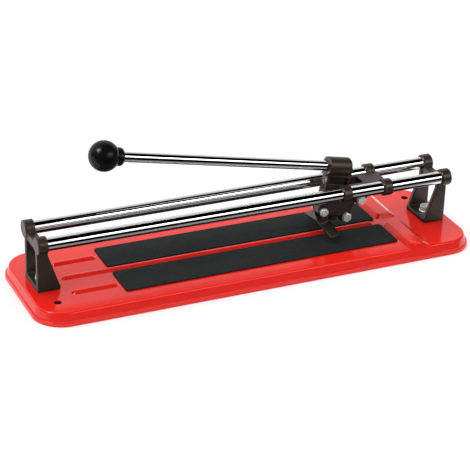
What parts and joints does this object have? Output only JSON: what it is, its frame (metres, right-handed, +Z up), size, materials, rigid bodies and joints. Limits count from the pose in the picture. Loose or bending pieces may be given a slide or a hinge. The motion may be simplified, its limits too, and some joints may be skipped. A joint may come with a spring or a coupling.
{
  "type": "manual tile cutter",
  "caption": "Manual tile cutter: pressed steel base with rubber pads and end stop, twin chromed rails on cast brackets, and a sliding carriage whose hinged lever scores and breaks the tile.",
  "frame": {"origin": "on the surface that the base stands on, under the middle of the base", "axes": "+X along the rails towards the end stop, +Y to the back, +Z up"},
  "size_m": [0.541, 0.16, 0.1744],
  "materials": {
    "red_enamel": "glossy red stoved enamel on pressed steel",
    "pad_rubber": "matt black-green foam rubber with a fine leathery grain",
    "dark_casting": "dark brown-grey paint, semi-gloss, on rough castings",
    "bright_chrome": "polished chrome plate",
    "zinc_steel": "bright zinc plate",
    "wheel_steel": "ground hard metal",
    "black_plastic": "glossy black moulded plastic"
  },
  "bodies": {
    "frame": {"base_plate": "red_enamel", "front_pad": "pad_rubber", "rear_pad": "pad_rubber", "right_bracket": "dark_casting", "left_bracket": "dark_casting", "front_rail": "bright_chrome", "rear_rail": "bright_chrome", "bracket_bolts": "zinc_steel", "bracket_washers": "zinc_steel", "bracket_nuts": "zinc_steel"},
    "carriage": {"carriage": "dark_casting", "pivot_bolt": "zinc_steel", "pivot_nut": "zinc_steel"},
    "lever": {"lever": "dark_casting", "handle_rod": "bright_chrome", "ball_knob": "black_plastic", "wheel_bolt": "zinc_steel", "wheel_nut": "zinc_steel", "foot_bolt": "zinc_steel", "foot_nut": "zinc_steel"},
    "wheel": {"scoring_wheel": "wheel_steel"},
    "foot": {"breaker_foot": "dark_casting"}
  },
  "joints": [
    {"name": "carriage_slide", "type": "slide", "parent": "frame", "child": "carriage", "axis": [1, 0, 0], "range_m": [-0.32, 0.064]},
    {"name": "lever_hinge", "type": "hinge", "parent": "carriage", "child": "lever", "pos_m": [0.146, 0, 0.0565], "axis": [0, 1, 0], "range_deg": [-6, 32]},
    {"name": "wheel_spin", "type": "hinge", "parent": "lever", "child": "wheel", "pos_m": [0.13129, 0, 0.03366], "axis": [0, 1, 0], "continuous": true},
    {"name": "foot_swing", "type": "hinge", "parent": "lever", "child": "foot", "pos_m": [0.09956, 0, 0.04628], "axis": [0, 1, 0], "range_deg": [-2, 12]}
  ]
}
